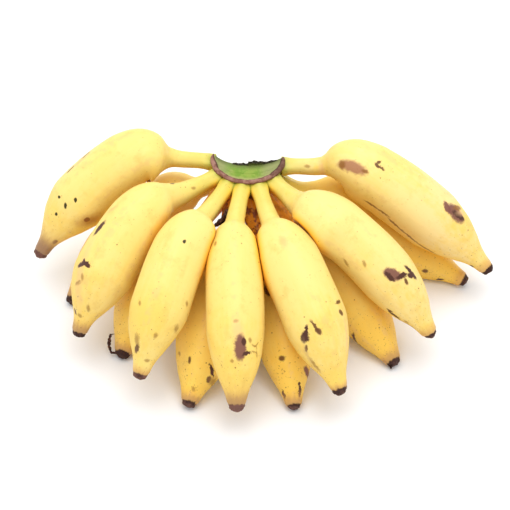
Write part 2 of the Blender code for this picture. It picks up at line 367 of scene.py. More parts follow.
def skin_object(name, rings, material, **coordinates):
    """Join rings of points into a closed smooth mesh, with values for its material to read at each point."""
    rows, count, _ = rings.shape
    corner = np.arange(rows * count).reshape(rows, count)
    turned = np.roll(corner, -1, axis=1)
    quads = np.stack([corner[:-1], turned[:-1], turned[1:], corner[1:]], 2).reshape(-1, 4)
    poles = np.stack([rings[0].mean(axis=0), rings[-1].mean(axis=0)])
    first, last = rows * count, rows * count + 1
    fans = [(first, turned[0, i], corner[0, i]) for i in range(count)]
    fans += [(last, corner[-1, i], turned[-1, i]) for i in range(count)]
    mesh = bpy.data.meshes.new(name)
    mesh.from_pydata(np.concatenate([rings.reshape(-1, 3), poles]) * MM, [], quads.tolist() + fans)
    for key, values in coordinates.items():
        flat = values.reshape(rows * count, -1)
        ends = [flat[:count].mean(axis=0), flat[-count:].mean(axis=0)]
        flat = np.concatenate([flat, ends]).astype(np.float32)
        kind, field = ("FLOAT_VECTOR", "vector") if flat.shape[1] == 3 else ("FLOAT", "value")
        mesh.attributes.new(key, kind, "POINT").data.foreach_set(field, flat.ravel())
    mesh.shade_smooth()
    mesh.materials.append(material)
    piece = bpy.data.objects.new(name, mesh)
    bpy.context.scene.collection.objects.link(piece)
    return piece


class Pattern:
    """A value that varies over a surface. Sums and products of it add Math nodes to its finish."""

    def __init__(self, finish, socket):
        self.finish, self.socket = finish, socket

    def __add__(self, other):
        return self.finish.math("ADD", self, other)

    def __sub__(self, other):
        return self.finish.math("SUBTRACT", self, other)

    def __rsub__(self, other):
        return self.finish.math("SUBTRACT", other, self)

    def __mul__(self, other):
        return self.finish.math("MULTIPLY", self, other)

    def __abs__(self):
        return self.finish.math("ABSOLUTE", self)

    __radd__ = __add__
    __rmul__ = __mul__


class Finish:
    """A material in the making: its nodes, the Principled shader that they feed, and its colour so far."""

    def __init__(self, name):
        self.material = bpy.data.materials.new(name)
        self.material.use_nodes = True
        self.tree = self.material.node_tree
        self.shader = self.tree.nodes["Principled BSDF"]

        self.colour = None

    def put(self, socket, value):
        """Link a socket to a pattern, or set it to a value."""
        if isinstance(value, Pattern):
            self.tree.links.new(value.socket, socket)
        elif socket.type == "RGBA":
            socket.default_value = (*value, 1)
        else:
            socket.default_value = value

    def node(self, kind, settings, sockets, output=0):
        """Add a node: its settings, then the values or links of its sockets. Gives one of its outputs."""
        node = self.tree.nodes.new("ShaderNode" + kind)
        for key, value in settings.items():
            setattr(node, key, value)
        for key, value in sockets.items():
            self.put(node.inputs[key], value)
        return Pattern(self, node.outputs[output])

    def set(self, **sockets):
        """Give the shader its colour so far, and other sockets their values; normal is Normal, and so on."""
        for key, value in {"base_color": self.colour, **sockets}.items():
            self.put(self.shader.inputs[key.replace("_", " ").title().replace("Ior", "IOR")], value)

    def math(self, operation, *values):
        return self.node("Math", {"operation": operation}, dict(enumerate(values)))

    def vector(self, operation, *values):
        return self.node("VectorMath", {"operation": operation}, dict(enumerate(values)))

    def attribute(self, name, output="Fac"):
        return self.node("Attribute", {"attribute_name": name}, {}, output)

    def split(self, vector):
        parts = self.node("SeparateXYZ", {}, {0: vector})
        return [Pattern(self, socket) for socket in parts.socket.node.outputs]

    def noise(self, vector, size, detail=2, roughness=0.5):
        """Noise of 0 to 1 whose patches are about size millimetres across."""
        sockets = {"Vector": vector, "Scale": 1 / size, "Detail": detail, "Roughness": roughness}
        return self.node("TexNoise", {}, sockets)

    def step(self, low, high, value):
        """What fade does, as nodes."""
        if low > high:
            return 1 - self.step(high, low, value)
        sockets = {"Value": value, "From Min": low, "From Max": high}
        return self.node("MapRange", {"interpolation_type": "SMOOTHSTEP"}, sockets)

    def blend(self, mask, below, above):
        """Lay one colour over another where the mask is 1."""
        return self.node("Mix", {"data_type": "RGBA"}, {0: mask, 6: below, 7: above}, 2)

    def lay(self, mask, tint):
        """Lay one more colour over the finish where the mask is 1."""
        self.colour = self.blend(mask, self.colour, tint)

    def bump(self, height, distance, normal=None):
        """Raise the surface by a height of 0 to 1 times a distance in millimetres."""
        sockets = {"Height": height, "Distance": distance * MM}
        if normal:
            sockets["Normal"] = normal
        return self.node("Bump", {}, sockets)


# the peel's colours, linear
PALE_YELLOW = (0.86, 0.64, 0.165)
WARM_YELLOW = (0.86, 0.59, 0.115)
DEEP_YELLOW = (0.87, 0.55, 0.08)
PALE_PEACH = (0.88, 0.66, 0.27)
# painted highlight on the shoulders of the upper row
HIGHLIGHT_LEMON = (0.88, 0.69, 0.225)
STALK_GREEN = (0.58, 0.55, 0.085)
ROOT_GREEN = (0.34, 0.4, 0.05)
# painted shade: the dark green of the creases between the stalks
SHADED_CREASE_GREEN = (0.17, 0.25, 0.02)
# painted shade: yellow, orange and brown laid under and between the bananas
SHADED_YELLOW = (0.93, 0.54, 0.032)
SHADED_ORANGE = (0.84, 0.38, 0.014)
SHADED_BROWN = (0.42, 0.15, 0.008)
# painted shade on the lower row's stalks, partly the orange of dried sap
SAP_AND_SHADE_ORANGE = (0.85, 0.32, 0.008)
SAP_AND_SHADE_MAROON = (0.16, 0.03, 0.01)
CLOUD_OCHRE = (0.7, 0.44, 0.09)
RUBBED_PEACH = (0.74, 0.48, 0.22)
FRECKLE_BROWN = (0.2, 0.085, 0.02)
SMUDGE_BROWN = (0.27, 0.15, 0.085)
CAP_ORANGE = (0.6, 0.31, 0.085)
CAP_PURPLE = (0.17, 0.075, 0.055)
CAP_BLACK = (0.04, 0.014, 0.009)
CAP_PINK = (0.24, 0.13, 0.1)
# its patterns: how far each banana shifts them, how they are drawn out along it, and their sizes
PEEL_SHIFT = (61.0, 23.0, 211.0)
DRAWN_OUT = (1.0, 1.0, 0.07)
BROAD, CLOUD, MOTTLE, STREAK, WRINKLE, FINE = 38.0, 9.0, 5.0, 2.2, 0.9, 0.8
SPECKLE, CRUST, JITTER_SCALE = 1.1, 1.1, 0.5
# the freckles: the size of their cells, and which share of these stays bare
FRECKLES = ((5.0, 0.8), (3.0, 0.84))
# how high the grain of the peel and the crust of the tip stand
GRAIN_HEIGHT, CRUST_HEIGHT = 0.12, 0.6
# the kinds of mark on the peel: colour, how opaque, and how soft its edge is
DOT = ((0.04, 0.035, 0.004), 1.0, 0.3)
DARK = ((0.075, 0.024, 0.013), 1.0, 0.25)
BROWN = ((0.13, 0.048, 0.012), 0.95, 0.35)
RUST = ((0.26, 0.105, 0.018), 0.9, 0.45)
OLIVE = ((0.3, 0.145, 0.02), 0.7, 0.55)
BRUISE = ((0.18, 0.06, 0.048), 0.95, 0.25)
UMBER = ((0.35, 0.14, 0.075), 0.9, 0.35)
TAN = ((0.52, 0.34, 0.14), 0.45, 0.8)
PEACH = ((0.8, 0.47, 0.22), 0.5, 0.8)
STAIN = ((0.42, 0.15, 0.012), 0.75, 0.9)
# each mark: its kind, how far from the root it lies, its angle round the banana, half its length, half its
# width, and how far its length is turned from the banana's. The marks were picked by eye in the photograph. A
# scratch script worked out these numbers from the picks; they were then rounded, and some changed by hand.
MARKS = {
    "finger_1": (
        (DOT, 103, 96, 1, 1, 0), (DOT, 104, 118, 2, 1, 40), (DOT, 97, 127, 1.5, 1, 45),
        (DOT, 112, 110, 1, 1, 0), (DARK, 102, 171, 2, 2, 0), (STAIN, 101, 182, 8, 4.5, -40),
        (TAN, 80, 66, 7, 2, 0), (BROWN, 76, 60, 3, 1, 5), (BROWN, 88, 62, 3, 1, 0),
        (BROWN, 128, 165, 2, 1.5, 0),
    ),
    "finger_2": (
        (PEACH, 108, 69, 16, 3, 10), (DARK, 80, 57, 5, 2.5, -20), (DARK, 102, 66, 4, 1.5, -60),
        (DARK, 101, 80, 3, 1.5, 85), (DARK, 100, 69, 2, 1, 60), (OLIVE, 108, 79, 2, 1, 30),
        (OLIVE, 112, 70, 3, 1, -60), (BROWN, 128, 59, 2, 1, 45), (OLIVE, 129, 92, 1.5, 1, 75),
        (OLIVE, 123, 118, 2, 1, 30), (OLIVE, 20, 133, 1.5, 1, -25), (TAN, 68, 55, 4, 1.5, -55),
        (DARK, 33, 75, 2, 1, 10),
    ),
    "finger_3": (
        (DOT, 65, 108, 1, 1, 0), (OLIVE, 123, 69, 3, 2, 0), (BROWN, 128, 69, 3, 1.5, -30),
        (OLIVE, 96, 159, 1.5, 1, 35), (OLIVE, 118, 118, 1.5, 1, 10), (OLIVE, 104, 63, 1.5, 1, 40),
        (OLIVE, 133, 122, 1.5, 1, -80), (OLIVE, 111, 159, 2.5, 1.5, 40),
    ),
    "finger_4": (
        (DARK, 28, 170, 2, 1, 0), (OLIVE, 53, 46, 1.5, 1, 5), (OLIVE, 100, 91, 1.5, 1, -80),
        (PEACH, 105, 94, 6, 3, 5), (BRUISE, 114, 100, 7, 3.5, 0), (DARK, 111, 107, 2, 1.5, 5),
        (DARK, 117, 115, 3, 1, -70), (OLIVE, 110, 122, 1.5, 1, 15), (OLIVE, 113, 136, 2.5, 0.5, 65),
        (OLIVE, 112, 141, 2, 0.5, -45), (OLIVE, 116, 137, 2.5, 0.5, 80), (OLIVE, 117, 145, 2, 0.5, 15),
        (OLIVE, 121, 80, 1, 1, 0),
    ),
    "finger_5": (
        (DARK, 110, 43, 3.5, 2.5, -45), (DARK, 107, 51, 3, 1, -35), (DARK, 110, 39, 1.5, 1, 50),
        (BROWN, 107, 69, 4, 1, 15), (BROWN, 110, 72, 2, 1.5, 25), (BROWN, 116, 33, 2, 1, -40),
        (TAN, 120, 23, 8.5, 1, -25), (OLIVE, 126, 24, 4.5, 1, -5), (PEACH, 117, 141, 10, 1, 0),
        (BROWN, 98, 136, 3, 1, -80), (BROWN, 104, 134, 2, 1.5, 45), (TAN, 57, 77, 3.5, 2, -5),
    ),
    "finger_6": (
        (BRUISE, 99, 63, 5.5, 3.5, 30), (DARK, 99, 56, 3.5, 1.5, 5), (DARK, 103, 76, 3.5, 1.5, 75),
        (BROWN, 107, 77, 2, 1, -10), (DARK, 105, 99, 5.5, 1.5, 15), (DARK, 106, 92, 2, 1.5, 40),
        (BROWN, 115, -2, 2, 1, 20), (OLIVE, 76, 8, 3, 1, -20), (OLIVE, 84, 36, 2, 1, -30),
        (OLIVE, 127, -2, 1.5, 1, -25), (DARK, 119, -10, 5, 1.5, -10), (RUST, 129, -25, 5.5, 1, 0),
    ),
    "finger_7": (
        (UMBER, 46, 38, 7, 3.5, 5), (RUST, 41, 36, 1.5, 2.5, 0), (RUST, 52, 41, 2, 1, 15),
        (BROWN, 56, 62, 2, 1, -25), (BROWN, 59, 62, 2.5, 1, 0), (BROWN, 56, 69, 1.5, 1, 50),
        (BRUISE, 106, 77, 4, 2, -30), (BRUISE, 113, 82, 7, 4, 0), (DARK, 115, 84, 5, 2, 20),
        (RUST, 112, 95, 4, 1.5, 55), (PEACH, 116, 95, 4.5, 1.5, 55), (OLIVE, 16, 43, 2, 1, 0),
        (RUST, 68, -12, 5.5, 1, 5), (RUST, 77, -10, 4.5, 1, 5), (RUST, 88, -17, 6.5, 1, -10),
        (RUST, 100, -20, 9, 1, -5), (RUST, 116, -29, 9, 1, -15), (PEACH, 26, 14, 7.5, 2, 90),
        (BROWN, 146, -28, 1.5, 1.5, 0),
    ),
    "finger_c": (
        (BROWN, 114, 73, 2, 1, 5), (OLIVE, 110, 38, 1.5, 1, 50), (DARK, 116, 137, 4.5, 1, 50),
        (BROWN, 121, 144, 2, 1.5, 35), (OLIVE, 121, 167, 4, 2, 80), (OLIVE, 129, 103, 1.5, 1, 45),
    ),
    "finger_d": (
        (BROWN, 110, 69, 2, 1.5, 75), (DARK, 130, 32, 2.5, 1, -5), (DARK, 129, 130, 3.5, 1, 10),
        (DARK, 125, 122, 1, 1, 25), (BRUISE, 118, 152, 4.5, 2, 60), (BROWN, 67, 66, 4, 1.5, 10),
    ),
    "finger_e": ((DARK, 108, -10, 5.5, 1.5, -70), (BROWN, 131, 11, 1.5, 1, 15)),
    "finger_f": ((BROWN, 116, 11, 2, 1.5, 20), (DARK, 127, -21, 2.5, 1.5, 40)),
}
# how ragged the edges of marks are; those of marks shorter than this are rounder
MARK_RAGGED, SMALL_RAGGED = 3.6, 1.4
SMALL_MARK = 2.5


def mark_mask(finish, place, banana, along, degrees, half_length, half_width, tilt, softness):
    """1 inside one mark of the peel and 0 outside it."""
    step_along, _, _, radius = path(banana)
    reach = float(np.interp(along, step_along, radius))
    angle, turn = math.radians(degrees), math.radians(tilt)
    out = Vector((math.cos(angle), math.sin(angle), 0))
    around = Vector((-math.sin(angle), math.cos(angle), 0))
    ahead = Vector((0, 0, 1))
    lengthwise = ahead * math.cos(turn) + around * math.sin(turn)
    across = around * math.cos(turn) - ahead * math.sin(turn)
    axes = Matrix((lengthwise, across, lengthwise.cross(across))).transposed()
    sockets = {"Vector": place, "Location": out * reach + ahead * along, "Rotation": axes.to_euler(),
               "Scale": (half_length, half_width, reach)}
    offset = finish.node("Mapping", {"vector_type": "TEXTURE"}, sockets)
    distance = finish.node("VectorMath", {"operation": "LENGTH"}, {0: offset}, "Value")
    return finish.step(1 + softness, 1 - softness, distance)


class Peel(Finish):
    """The peel of one banana in the making, with the patterns that its layers share."""

    def __init__(self, banana, seed):
        super().__init__("peel_" + banana.name)
        self.banana, self.look = banana, LOOKS[banana.name]
        self.stalk, self.total = banana.stalk, banana.stalk + banana.body
        self.own_place = self.attribute("straight", "Vector")
        self.near, self.upward = self.attribute("near"), self.attribute("upward")
        self.x, self.y, self.along = self.split(self.own_place)
        self.place = self.vector("ADD", self.own_place, tuple(seed * shift for shift in PEEL_SHIFT))
        self.lengthwise = self.vector("MULTIPLY", self.place, DRAWN_OUT)
        self.broad = self.noise(self.place, BROAD, 1)
        self.cloud = self.noise(self.place, CLOUD, 5, 0.65)
        self.mottle = self.noise(self.place, MOTTLE, 4, 0.6)
        self.streaks = self.noise(self.lengthwise, STREAK, 3, 0.6)
        self.fine = self.noise(self.place, FINE, 2)
        self.toward_tip = self.step(self.stalk + 0.5 * banana.body, self.total - 5, self.along)

    def ripen(self):
        """Streaked yellow, with a painted highlight of pale lemon on the upper row's shoulders, ochre clouds,
        rubbed ridges and a green stalk.
        """
        light, deep = (PALE_YELLOW, WARM_YELLOW) if self.banana.upper else (WARM_YELLOW, DEEP_YELLOW)
        self.colour = self.blend(self.look.pale, light, PALE_PEACH)
        warm = self.broad + 0.5 * (self.mottle - 0.5) + 0.4 * (self.streaks - 0.5) + 0.22 * self.toward_tip
        self.lay(self.step(0.35, 0.75, warm), deep)
        if self.banana.upper:
            # painted highlight: paler lemon on the shoulders of the upper row, which face the light from
            # above
            shoulder_highlight = self.step(self.stalk - 5, self.stalk + 12, self.along)
            fades = self.along + 20 * (self.broad - 0.5)
            self.lay(shoulder_highlight * self.step(self.stalk + 80, self.stalk + 35, fades) * 0.6, HIGHLIGHT_LEMON)
        self.lay(self.step(0.5, 0.72, self.cloud) * 0.36, CLOUD_OCHRE)
        ridge = self.math("SINE", RIDGES * self.math("ARCTAN2", self.y, self.x))
        rubbed = self.step(0.55, 1, ridge) * self.step(0.46, 0.68, self.mottle + 0.35 * (self.broad - 0.5))
        self.lay(rubbed * 0.35, RUBBED_PEACH)
        green = self.step(self.stalk + 8, 0, self.along + 16 * (self.streaks - 0.5))
        self.lay(green * 0.6, STALK_GREEN)

    def shade(self):
        """Painted shade: deeper yellow to brown underneath and where another banana is near, dark green in
        the creases at the crown; and the crown's own green.
        """
        # painted shade: deeper yellow on faces that turn down, then orange to brown the nearer another banana
        # is
        close = self.near + 1.2 * (self.mottle - 0.5) + self.step(0.2, 1, self.upward)
        self.lay(self.step(0.2, -0.7, self.upward) * 0.65, SHADED_YELLOW)
        self.lay(self.step(7, 0.8, close) * 0.8, SHADED_YELLOW)
        sheltered = self.step(9, 3, self.near) * self.step(0.4, -0.2, self.upward)
        self.lay(sheltered * 0.6, SHADED_ORANGE)
        self.lay(self.step(2.3, 0.4, close) * 0.85, SHADED_ORANGE)
        self.lay(self.step(1.1, 0.2, close) * 0.9, SHADED_BROWN)
        # painted shade in the creases between the stalks at the crown, laid as dark green over the stalks'
        # own green
        crease_shade = self.step(15, 3, self.along) * self.step(2.8, 0.3, self.near + self.mottle - 0.5)
        self.lay(crease_shade * 0.85, SHADED_CREASE_GREEN)
        self.lay(self.step(7, 1, self.along) * 0.5, ROOT_GREEN)

    def stain_and_shade(self):
        """Painted shade on a lower stalk under the upper row, orange partly from dried sap, with maroon
        spots.
        """
        # painted shade where the upper row overhangs the lower row's stalks, partly the orange of dried sap
        sap_and_shade = self.step(self.stalk + 16, self.stalk, self.along + 9 * (self.mottle - 0.5))
        self.lay(sap_and_shade * 0.9, SAP_AND_SHADE_ORANGE)
        self.lay(sap_and_shade * self.step(0.46, 0.6, self.mottle) * self.look.sap_and_shade, SAP_AND_SHADE_MAROON)

    def freckle(self):
        """Freckles and a fine speckle, with more of both toward the tip and on the lower row."""
        freckles = 0
        for size, bare in FRECKLES:
            cell = self.node("TexVoronoi", {}, {"Vector": self.place, "Scale": 1 / size})
            spread = Pattern(self, cell.socket.node.outputs["Distance"])
            chance = self.split(Pattern(self, cell.socket.node.outputs["Color"]))[0]
            bare = bare - 0.14 * self.toward_tip - (0 if self.banana.upper else 0.08)
            grown = self.step(0, 0.14, chance - bare)
            freckles = grown * self.step(0.13, 0.05, spread + 0.05 * (self.fine - 0.5)) + freckles
        self.lay(self.step(0, 1, freckles) * 0.8, FRECKLE_BROWN)
        speckled = self.noise(self.place, SPECKLE, 2)
        bare = 0.71 - 0.05 * self.toward_tip - 0.16 * (self.cloud - 0.5)
        bare = bare - (0 if self.banana.upper else 0.02)
        self.lay(self.step(0, 0.05, speckled - bare) * 0.65, FRECKLE_BROWN)

    def mark(self):
        """The bruises, spots and creases, with ragged edges."""
        sockets = {"Vector": self.place, "Scale": JITTER_SCALE, "Detail": 4, "Roughness": 0.65}
        jitter = self.vector("SUBTRACT", self.node("TexNoise", {}, sockets, "Color"), (0.5, 0.5, 0.5))
        ragged, rounder = (self.vector("ADD", self.own_place, self.vector("MULTIPLY", jitter, (size,) * 3))
                           for size in (MARK_RAGGED, SMALL_RAGGED))
        for (tint, opacity, softness), *where in MARKS.get(self.banana.name, ()):
            edge = ragged if where[2] >= SMALL_MARK else rounder
            self.lay(mark_mask(self, edge, self.banana, *where, softness) * opacity, tint)

    def wither(self):
        """The smudge before the tip and the dry cap on it. Gives how dry the peel is."""
        look, end = self.look, self.total + END_RINGS[-1][1]
        cap_start = end - look.cap
        worn = self.along + 1.6 * (self.mottle - 0.5) + 2.4 * (self.streaks - 0.5)
        tinged = worn + 0.4 * look.smudge * (self.streaks - 0.5)
        self.lay(self.step(cap_start - 1.6 * look.smudge, cap_start, tinged) * 0.8, CAP_ORANGE)
        if look.smudged:
            blotch = worn + 4 * (self.streaks - 0.5) + 5 * (self.cloud - 0.5)
            smudge = self.step(cap_start - look.smudge, cap_start - 0.2 * look.smudge, blotch)
            self.lay(smudge * look.smudged, SMUDGE_BROWN)
        dry = self.step(cap_start - 0.7, cap_start + 0.3, worn)
        black = self.step(0.75 - look.black, 1.1 - look.black, self.mottle)
        face = self.step(end - 1.4, end - 0.5, self.along) * (1 - look.black)
        pink = face * self.step(0.4, 0.6, self.mottle)
        self.lay(dry, self.blend(pink, self.blend(black, CAP_PURPLE, CAP_BLACK), CAP_PINK))
        return dry


def peel(banana, seed):
    """Ripe peel: streaked yellow with a painted highlight, orange-brown painted shade where it is sheltered,
    marked and freckled, with a dry tip.
    """
    finish = Peel(banana, seed)
    finish.ripen()
    finish.shade()
    if finish.look.sap_and_shade:
        finish.stain_and_shade()
    finish.freckle()
    finish.mark()
    dry = finish.wither()
    wrinkle = finish.noise(finish.lengthwise, WRINKLE, 2)
    skin = finish.bump(0.5 * finish.streaks + 0.3 * wrinkle + 0.2 * finish.fine, GRAIN_HEIGHT)
    skin = finish.bump(dry * finish.noise(finish.place, CRUST, 3), CRUST_HEIGHT, normal=skin)
    rough = 0.46 + 0.12 * (finish.mottle - 0.5) + 0.35 * dry
    finish.set(roughness=rough, normal=skin, specular_ior_level=0.3)
    return finish.material


BALLS = {banana.name: stations(banana) for banana in BANANAS}
for number, banana in enumerate(BANANAS, 1):
    surface, straight, near, upward = banana_skin(banana, number, BALLS)
    piece = skin_object("banana_" + banana.name[-1], surface, peel(banana, number), straight=straight,
                        near=near, upward=upward)
    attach(piece, "root")
    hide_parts(banana.name)

# The flower's remains. The flower that each banana ended in has withered off, but on two bananas of the lower
# row a black, brittle shred of it still clings to the tip. A third black shred lies in the dark gap between
# two upper stalks.
SHRED_STEPS = 60
SHRED_AROUND = 12
# how much it thins along its length, how short and how blunt its end is, and how flat it is
SHRED_THINS, SHRED_END, SHRED_BLUNT, SHRED_FLAT = 0.75, 0.06, 0.02, 0.55
# its lumps, with lengths in shares of its thickness, and the length that its pattern is laid out on
SHRED_LUMPS = ((0.35, 1.9, 0), (0.2, 0.8, 1))
SHRED_LENGTH = 20
SHRED_SEED = 400
# for each shred: its banana, its greatest radius, and the points it runs through, as the angle round the
# banana, how far out from its axis, and how far from its root
SHREDS = (
    ("finger_b", 1.2, ((10, 4, 123), (2, 6, 123.7), (8, 8.2, 122.4), (20, 9.8, 119.8),
                       (28, 10.6, 117.2), (36, 11.4, 115), (46, 9.6, 113.8))),
    ("finger_e", 1.1, ((10, 2.2, 134.2), (-6, 3.2, 135.2), (-16, 3.6, 136.2))),
    # a black shred put in the dark gap between the stalks of finger_3 and finger_4
    ("finger_4", 3.2, ((-30, 5.5, 20), (-25, 8, 24), (-18, 10, 27), (-14, 12.5, 31),
                       (-12, 15, 34))),
)


def shred_rings(banana, thickness, points, seed):
    """The rings of a twisted, tapering shred that starts inside a banana's skin."""
    step_along, step_point, step_ahead, _ = path(banana)
    degrees, out, along = np.array(points, dtype=float).T
    centre, ahead = read_at(along, step_along, step_point), read_at(along, step_along, step_ahead)
    centre += ahead * np.maximum(along - step_along[-1], 0)[:, None]
    side, top = side_and_top(ahead)
    turn = np.radians(degrees)
    corners = centre + side * (np.cos(turn) * out)[:, None] + top * (np.sin(turn) * out)[:, None]
    places = np.linspace(0, 1, len(corners))
    steps = np.linspace(0, 1, SHRED_STEPS)
    line = np.stack([smooth_curve(steps, np.stack([places, column], 1)) for column in corners.T], 1)
    forward = np.gradient(line, axis=0)
    forward /= np.linalg.norm(forward, axis=1)[:, None]
    across = np.cross(forward, ahead[-1])
    across /= np.linalg.norm(across, axis=1)[:, None]
    upright = np.cross(across, forward)
    around = circle(SHRED_AROUND)
    steps = steps[:, None]
    taper = thickness * (1 - SHRED_THINS * steps**2) * fade(0, SHRED_END, 1 + SHRED_BLUNT - steps)
    wide, flat = np.cos(around) * taper, np.sin(around) * taper
    roll = np.stack([wide, flat, steps * SHRED_LENGTH + 0 * around], -1)
    kinds = [(height, length * thickness, more) for height, length, more in SHRED_LUMPS]
    rough = 1 + lumps(roll, kinds, seed)
    wide, flat = wide * rough, SHRED_FLAT * flat * rough
    return line[:, None] + across[:, None] * wide[..., None] + upright[:, None] * flat[..., None], roll


def shred_black():
    """The shreds: black with rusty patches."""
    finish = Finish("flower_shred")
    place = finish.attribute("straight", "Vector")
    patches = finish.noise(place, 1.5, 3)
    finish.colour = finish.blend(finish.step(0.5, 0.7, patches), CAP_BLACK, CAP_PURPLE)
    rough = finish.bump(finish.noise(place, 0.5, 3), 0.4)
    finish.set(roughness=0.85, specular_ior_level=0.2, normal=rough)
    return finish.material


SHRED_FINISH = shred_black()
for number, (name, thickness, points) in enumerate(SHREDS, 1):
    banana = next(banana for banana in BANANAS if banana.name == name)
    surface, straight = shred_rings(banana, thickness, points, SHRED_SEED + number)
    piece = skin_object("flower_shred_" + name[-1], surface, SHRED_FINISH, straight=straight)
    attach(piece, "root")
    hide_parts(name)

# The crown. It is the tough green cushion that the whole hand grew from, cut off the bunch's stem with a
# knife. Its top is slightly dished, its back is the hollow cut, and a scar runs round its front edge.
CROWN_TURN = -4.0
CROWN_REACH = 95.0
CUT_HOLLOW = 8.0
# the cut's curve is fuller to the left than to the right
CUT_LEFT, CUT_RIGHT = 3.0, 2.0
# each level of the crown: how far it lies below the rim, and the radius of its round front
CROWN_LEVELS = ((1.2, 21.3), (2.0, 21.7), (3.4, 21.9), (5.0, 21.7), (11.0, 21.3), (18.0, 20.0), (24.0, 17.0),
                (27, 14.4), (28, 12))
FRONT_POINTS = 260
CUT_POINTS = 120
DISH_RINGS = 26
DISH_DEPTH = 1.1
# the innermost ring of the top, and how far the line along its middle reaches, as shares of the way out
DISH_MIDDLE = 0.04
SPINE_REACH = 0.9
LEVEL_ROWS = 60


def crown_place(x, y, down):
    """Turn the crown's own coordinates to where it stands."""
    turn = math.radians(CROWN_TURN)
    return np.stack([CROWN_X + x * math.cos(turn) - y * math.sin(turn),
                     CROWN_Y + x * math.sin(turn) + y * math.cos(turn), RIM_HEIGHT - down], -1)


def cut_line(across, radius):
    """Where the hollow cut runs behind a level, for each place across it."""
    end = -math.cos(math.radians(CROWN_REACH)) * radius
    share = np.minimum(np.abs(across) / radius, 1)
    return end - CUT_HOLLOW * (1 - share ** np.where(across < 0, CUT_LEFT, CUT_RIGHT))


def crown_plan(radius):
    """One level's outline in the crown's own plan: the round front, then the cut from right to left."""
    reach = math.radians(CROWN_REACH)
    angles = np.linspace(-reach, reach, FRONT_POINTS)
    front = np.stack([np.sin(angles), -np.cos(angles)], 1) * radius
    across = np.linspace(front[-1, 0], front[0, 0], CUT_POINTS + 2)[1:-1]
    return np.concatenate([front, np.stack([across, cut_line(across, radius)], 1)])


def crown_spine(radius):
    """The line along the middle of a level, matched point by point to its outline."""
    x = np.clip(crown_plan(radius)[:, 0], -SPINE_REACH * radius, SPINE_REACH * radius)
    return np.stack([x, (cut_line(x, radius) - np.sqrt(radius**2 - x**2)) / 2], 1)


def crown_rings():
    """The crown's rings, from the middle of its dished top out to the edge and down to the bottom, with each
    point's own coordinates, and its share of the way out over the top."""
    plan, spine = crown_plan(CROWN_LEVELS[0][1]), crown_spine(CROWN_LEVELS[0][1])
    own, outward = [], []
    for share in np.linspace(DISH_MIDDLE, 1, DISH_RINGS)[:-1]:
        level = spine + (plan - spine) * share
        down = CROWN_LEVELS[0][0] + DISH_DEPTH * (1 - share**2)
        own.append(np.column_stack([level, np.full(len(plan), down)]))
        outward.append(np.full(len(plan), share))
    for down in np.linspace(CROWN_LEVELS[0][0], CROWN_LEVELS[-1][0], LEVEL_ROWS):
        plan = crown_plan(float(smooth_curve(np.array([down]), CROWN_LEVELS)[0]))
        own.append(np.column_stack([plan, np.full(len(plan), down)]))
        outward.append(np.full(len(plan), 1))
    own = np.array(own)
    return crown_place(own[..., 0], own[..., 1], own[..., 2]), own, np.array(outward)


FLESH_GREEN = (0.15, 0.27, 0.02)
FLESH_LIME = (0.24, 0.33, 0.045)
FLESH_KHAKI = (0.4, 0.37, 0.14)
FLESH_GREY = (0.29, 0.29, 0.12)
FLESH_OLIVE = (0.1, 0.12, 0.025)
SKIN_OLIVE = (0.26, 0.28, 0.035)
CUT_TAN = (0.42, 0.3, 0.15)
CUT_DARK = (0.23, 0.15, 0.07)


def flesh():
    """The crown: a green dished top that is khaki beside the scar and olive behind, skin below, and the dry
    fibrous cut behind."""
    finish = Finish("crown_skin")
    own = finish.attribute("own", "Vector")
    outward, behind = finish.attribute("outward"), finish.attribute("behind")
    x, _, down = finish.split(own)
    mottle = finish.noise(own, 4, 4, 0.6)
    fibres = finish.noise(finish.vector("MULTIPLY", own, (1, 0.25, 1)), 0.9, 3)
    finish.colour = finish.blend(finish.step(0.4, 0.62, mottle), FLESH_GREEN, FLESH_LIME)
    away = finish.step(6, 16, abs(x + 1) + 6 * (mottle - 0.5))
    finish.lay(away * 0.8, FLESH_GREY)
    khaki = (1 - behind) * finish.step(0.3, 0.85, outward + 0.3 * (mottle - 0.5))
    finish.lay(khaki * 0.85, FLESH_KHAKI)
    olive = behind * finish.step(0.35, 0.95, outward + 0.3 * (mottle - 0.5))
    finish.lay(olive * 0.8, FLESH_OLIVE)
    wall = finish.step(1.3, 1.7, down) * finish.step(0.98, 1, outward)
    finish.lay(wall, SKIN_OLIVE)
    cut = finish.blend(finish.step(0.35, 0.65, fibres), CUT_TAN, CUT_DARK)
    finish.lay(wall * behind, cut)
    height = fibres * 0.6 + finish.noise(own, 0.8, 2) * 0.4
    finish.set(roughness=0.45 + 0.2 * mottle, normal=finish.bump(height, 0.25), specular_ior_level=0.3)
    return finish.material


surface, own, outward = crown_rings()
behind = np.broadcast_to(np.arange(FRONT_POINTS + CUT_POINTS) >= FRONT_POINTS, outward.shape).astype(float)
crown = skin_object("crown_flesh", surface, flesh(), own=own, outward=outward, behind=behind)
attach(crown, "root")
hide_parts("crown")

# The scar. Along the crown's front edge the skin that was bruised and torn has healed into a corky ridge,
# pinkish brown, broader and darker to the right, with painted shade as a dark line on its inner side.
SCAR_REACH = 97.0
SCAR_RADIUS = 22.0
SCAR_DOWN = 1.5
SCAR_ROWS = 300
SCAR_AROUND = 28
# angle round the crown, half width and half height of the ridge there
SCAR_WIDTHS = ((-97, 0.4), (-88, 1.3), (-70, 1.9), (-45, 1.7), (0, 1.6), (30, 1.7), (55, 2.0), (80, 1.8),
               (92, 1.2), (97, 0.5))
SCAR_FLATNESS = 0.75
SCAR_LUMPS = ((0.06, 5.0, 301), (0.04, 1.8, 302))
SCAR_WANDER = ((0.15, 9.0, 303),)


